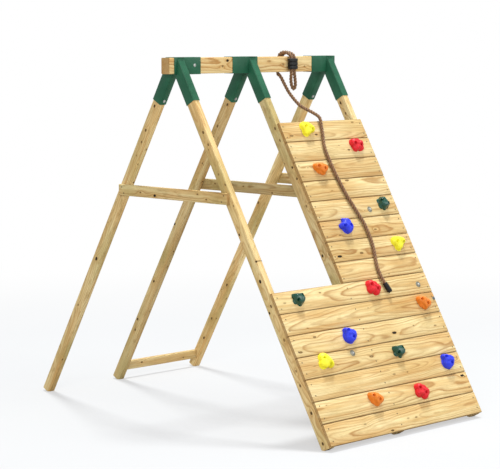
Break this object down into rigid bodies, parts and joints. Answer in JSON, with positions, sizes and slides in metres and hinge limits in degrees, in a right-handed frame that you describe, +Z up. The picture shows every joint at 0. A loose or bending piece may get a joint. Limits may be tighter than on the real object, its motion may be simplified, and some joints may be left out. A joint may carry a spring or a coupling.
{
  "type": "rock climbing wall",
  "caption": "Sloping timber board wall on A-frames with green steel brackets, screwed-on climbing holds and a rope tied to the top beam for climbing up.",
  "frame": {"origin": "middle of the bounding box's footprint, on the ground", "axes": "+X along the top beam, to the right for someone facing the wall; -Y towards the climber; +Z up"},
  "size_m": [1.4184, 2.523, 2.186],
  "materials": {
    "frame_timber": "sawn and planed pine, pressure treated, uncoated",
    "board_timber": "planed pine, pressure treated, uncoated",
    "green_paint": "satin powder coat, dark green",
    "bolt_steel": "zinc plated",
    "brown_rope": "three-strand laid rope, brown",
    "black_plastic": "moulded, black",
    "hold_yellow": "moulded, bright yellow",
    "hold_red": "moulded, red",
    "hold_orange": "moulded, orange",
    "hold_green": "moulded, dark green",
    "hold_blue": "moulded, blue"
  },
  "bodies": {
    "frame": {"beam_bolt_1": "bolt_steel", "beam_bolt_2": "bolt_steel", "beam_bolt_3": "bolt_steel", "board_01": "board_timber", "board_02": "board_timber", "board_03": "board_timber", "board_04": "board_timber", "board_05": "board_timber", "board_06": "board_timber", "board_07": "board_timber", "board_08": "board_timber", "board_09": "board_timber", "board_10": "board_timber", "board_11": "board_timber", "board_12": "board_timber", "board_13": "board_timber", "board_14": "board_timber", "board_15": "board_timber", "bracket_1": "green_paint", "bracket_2": "green_paint", "bracket_3": "green_paint", "crossbar_1": "frame_timber", "crossbar_2": "frame_timber", "crossbar_3": "frame_timber", "ground_rail": "frame_timber", "hold_blue_1": "hold_blue", "hold_blue_2": "hold_blue", "hold_blue_3": "hold_blue", "hold_green_1": "hold_green", "hold_green_2": "hold_green", "hold_green_3": "hold_green", "hold_orange_1": "hold_orange", "hold_orange_2": "hold_orange", "hold_orange_3": "hold_orange", "hold_red_1": "hold_red", "hold_red_2": "hold_red", "hold_red_3": "hold_red", "hold_yellow_1": "hold_yellow", "hold_yellow_2": "hold_yellow", "hold_yellow_3": "hold_yellow", "leg_1_front": "frame_timber", "leg_1_rear": "frame_timber", "leg_2_front": "frame_timber", "leg_2_rear": "frame_timber", "leg_3_front": "frame_timber", "leg_3_rear": "frame_timber", "leg_bolt_1_front": "bolt_steel", "leg_bolt_1_rear": "bolt_steel", "leg_bolt_2_front": "bolt_steel", "leg_bolt_2_rear": "bolt_steel", "leg_bolt_3_front": "bolt_steel", "leg_bolt_3_rear": "bolt_steel", "rope_clamp": "black_plastic", "rope_loop": "brown_rope", "top_beam": "frame_timber"},
    "rope_1": {"rope_1": "brown_rope"},
    "rope_2": {"rope_2": "brown_rope"},
    "rope_3": {"rope_3": "brown_rope"},
    "rope_4": {"rope_4": "brown_rope", "rope_cap": "black_plastic"}
  },
  "joints": [
    {"name": "rope_swing_out", "type": "hinge", "parent": "frame", "child": "rope_1", "pos_m": [0.24575, 0.00886, 2.034], "axis": [-1, 0, 0], "range_deg": [0, 45]},
    {"name": "rope_sway", "type": "hinge", "parent": "rope_1", "child": "rope_2", "pos_m": [0.29975, -0.28264, 1.7765], "axis": [0, -0.8674, 0.4977], "range_deg": [-1.5, 7]},
    {"name": "rope_bend_mid", "type": "hinge", "parent": "rope_2", "child": "rope_3", "pos_m": [0.27075, -0.54866, 1.30336], "axis": [-1, 0, 0], "range_deg": [0, 35]},
    {"name": "rope_bend_low", "type": "hinge", "parent": "rope_3", "child": "rope_4", "pos_m": [0.31575, -0.70643, 1.02841], "axis": [-1, 0, 0], "range_deg": [0, 45]}
  ]
}
